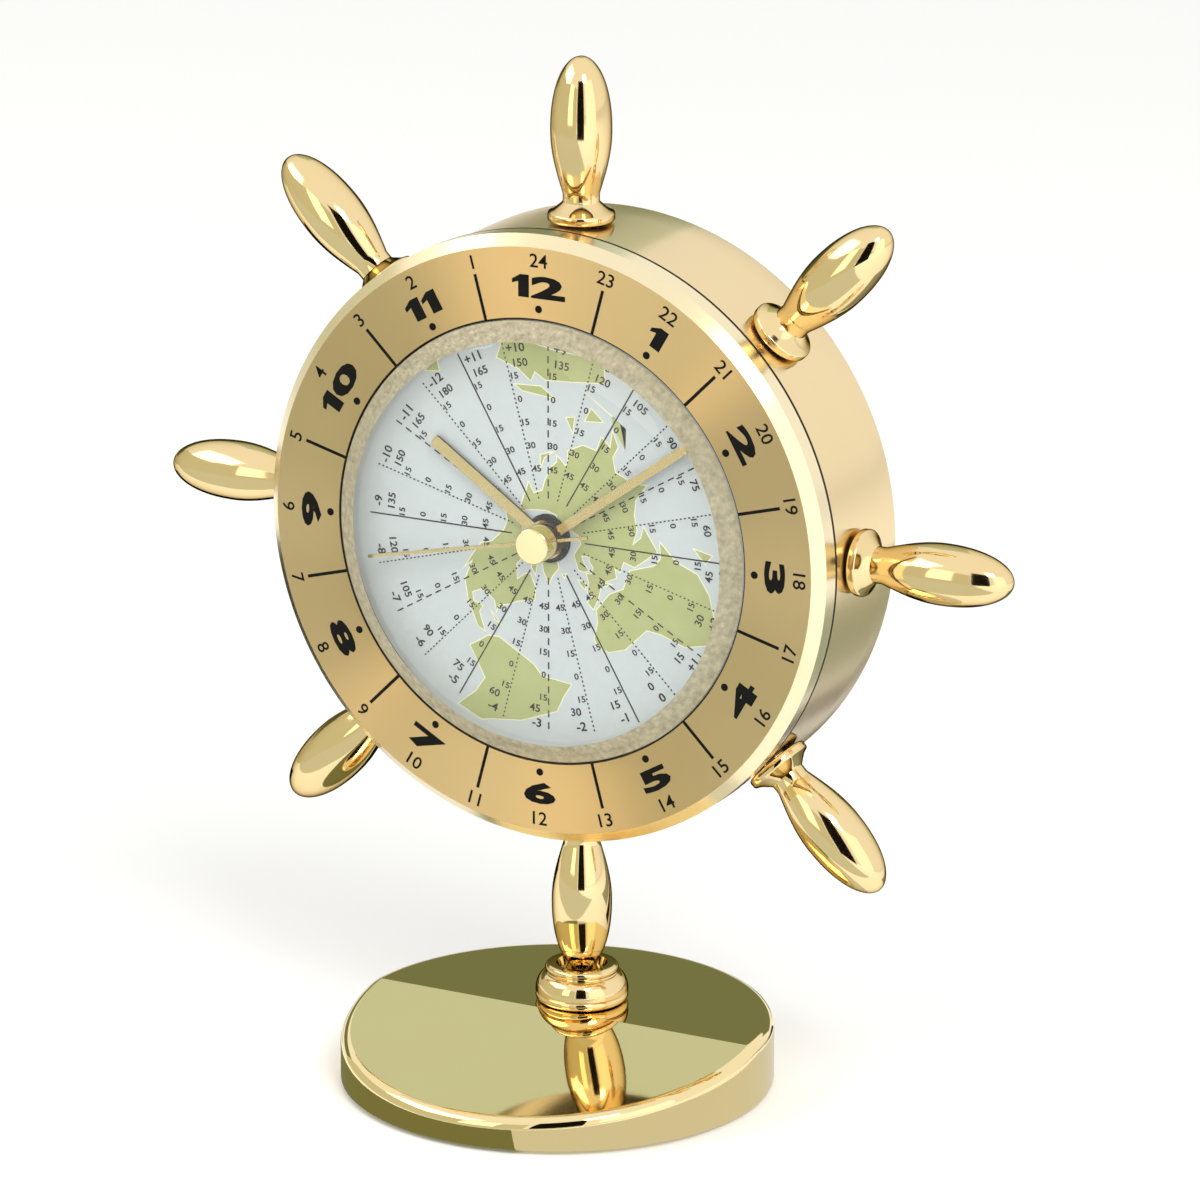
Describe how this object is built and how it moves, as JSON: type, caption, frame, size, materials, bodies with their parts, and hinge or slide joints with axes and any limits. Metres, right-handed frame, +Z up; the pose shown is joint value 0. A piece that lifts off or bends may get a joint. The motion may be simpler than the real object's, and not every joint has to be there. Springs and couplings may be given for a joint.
{
  "type": "ship wheel table clock",
  "caption": "Gold ship's-wheel desk clock: a round drum with turned handles stands by its lowest handle on a slope-fronted disc base; a world-time map disc turns under the hands.",
  "frame": {"origin": "middle of the felt pad's underside, on the surface that the clock stands on", "axes": "+Z up, the dial faces -Y, +X is to the viewer's right"},
  "size_m": [0.144, 0.0668, 0.1591],
  "materials": {
    "polished_gold": "mirror polished gold plating",
    "satin_gold": "fine brushed champagne gold plating",
    "crystal_glass": "clear polished dome",
    "grained_ring": "mottled grained beige and grey",
    "printed_dial": "matt printed pale blue-grey with green land",
    "steel": "plain bright steel",
    "brass": "plain machined brass",
    "black_plastic": "moulded, fine texture",
    "white_plastic": "moulded acetal",
    "magnet": "sintered dark grey",
    "copper_coil": "enamelled copper wire",
    "circuit_board": "green solder mask",
    "battery_jacket": "plain metallic jacket",
    "green_felt": "pressed wool felt"
  },
  "bodies": {
    "case": {"base_body": "polished_gold", "base_felt_pad": "green_felt", "base_screw": "steel", "stem_collar": "polished_gold", "handle_stem": "polished_gold", "handle_1": "polished_gold", "handle_2": "polished_gold", "handle_3": "polished_gold", "handle_4": "polished_gold", "handle_5": "polished_gold", "handle_6": "polished_gold", "handle_7": "polished_gold", "drum_case": "satin_gold", "bezel_ring": "satin_gold", "crystal": "crystal_glass", "inner_ring": "grained_ring", "dial_plate": "steel", "movement_front": "black_plastic", "train_bridge": "brass", "movement_rear": "black_plastic", "movement_screw_1": "steel", "movement_screw_2": "steel", "stator": "steel", "coil": "copper_coil", "circuit_board": "circuit_board", "battery": "battery_jacket", "battery_contact_positive": "steel", "battery_contact_negative": "steel", "back_cover": "black_plastic", "back_cover_screw_1": "steel", "back_cover_screw_2": "steel", "back_cover_screw_3": "steel", "back_cover_screw_4": "steel"},
    "minute": {"cannon_pinion": "brass", "minute_hand": "polished_gold"},
    "hour": {"hour_wheel": "white_plastic", "hour_hand": "polished_gold"},
    "day": {"day_wheel": "black_plastic", "map_disc": "printed_dial"},
    "minute_train": {"minute_wheel": "white_plastic"},
    "day_train": {"day_idler": "white_plastic"},
    "setting": {"setting_shaft": "brass", "setting_knob": "black_plastic"},
    "seconds": {"second_wheel": "brass", "second_hand": "polished_gold", "hand_cap": "polished_gold"},
    "centre": {"centre_wheel": "brass"},
    "third": {"third_wheel": "white_plastic"},
    "step": {"step_wheel": "white_plastic"},
    "motor": {"rotor": "magnet"},
    "door": {"battery_door": "black_plastic"}
  },
  "joints": [
    {"name": "minute_turn", "type": "hinge", "parent": "case", "child": "minute", "pos_m": [0, 0.008, 0.0871], "axis": [0, 1, 0], "continuous": true},
    {"name": "hour_turn", "type": "hinge", "parent": "case", "child": "hour", "pos_m": [0, 0.008, 0.0871], "axis": [0, 1, 0], "continuous": true},
    {"name": "day_turn", "type": "hinge", "parent": "case", "child": "day", "pos_m": [0, 0.008, 0.0871], "axis": [0, -1, 0], "continuous": true},
    {"name": "minute_wheel_turn", "type": "hinge", "parent": "case", "child": "minute_train", "pos_m": [0.00707, 0.008, 0.08003], "axis": [0, 1, 0], "continuous": true},
    {"name": "day_idler_turn", "type": "hinge", "parent": "case", "child": "day_train", "pos_m": [0.01764, 0.008, 0.09067], "axis": [0, 1, 0], "continuous": true},
    {"name": "setting_turn", "type": "hinge", "parent": "case", "child": "setting", "pos_m": [0.01703, 0.008, 0.07916], "axis": [0, 1, 0], "continuous": true},
    {"name": "second_turn", "type": "hinge", "parent": "case", "child": "seconds", "pos_m": [0, 0.008, 0.0871], "axis": [0, 1, 0], "continuous": true},
    {"name": "centre_turn", "type": "hinge", "parent": "case", "child": "centre", "pos_m": [0, 0.008, 0.0871], "axis": [0, 1, 0], "continuous": true},
    {"name": "third_turn", "type": "hinge", "parent": "case", "child": "third", "pos_m": [-0.01224, 0.008, 0.0871], "axis": [0, 1, 0], "continuous": true},
    {"name": "step_turn", "type": "hinge", "parent": "case", "child": "step", "pos_m": [0.0054, 0.008, 0.09645], "axis": [0, 1, 0], "continuous": true},
    {"name": "rotor_turn", "type": "hinge", "parent": "case", "child": "motor", "pos_m": [0.01044, 0.008, 0.10518], "axis": [0, 1, 0], "continuous": true},
    {"name": "battery_door_lift", "type": "slide", "parent": "case", "child": "door", "axis": [0, 1, 0], "range_m": [0, 0.03]}
  ],
  "couplings": [
    {"joint": "minute_turn", "follows": "day_turn", "ratio": 24},
    {"joint": "hour_turn", "follows": "day_turn", "ratio": 2},
    {"joint": "minute_wheel_turn", "follows": "day_turn", "ratio": -8},
    {"joint": "day_idler_turn", "follows": "day_turn", "ratio": 8},
    {"joint": "setting_turn", "follows": "day_turn", "ratio": 24},
    {"joint": "step_turn", "follows": "second_turn", "ratio": -5},
    {"joint": "rotor_turn", "follows": "second_turn", "ratio": 30},
    {"joint": "third_turn", "follows": "second_turn", "ratio": -0.13333},
    {"joint": "centre_turn", "follows": "second_turn", "ratio": 0.016667}
  ]
}
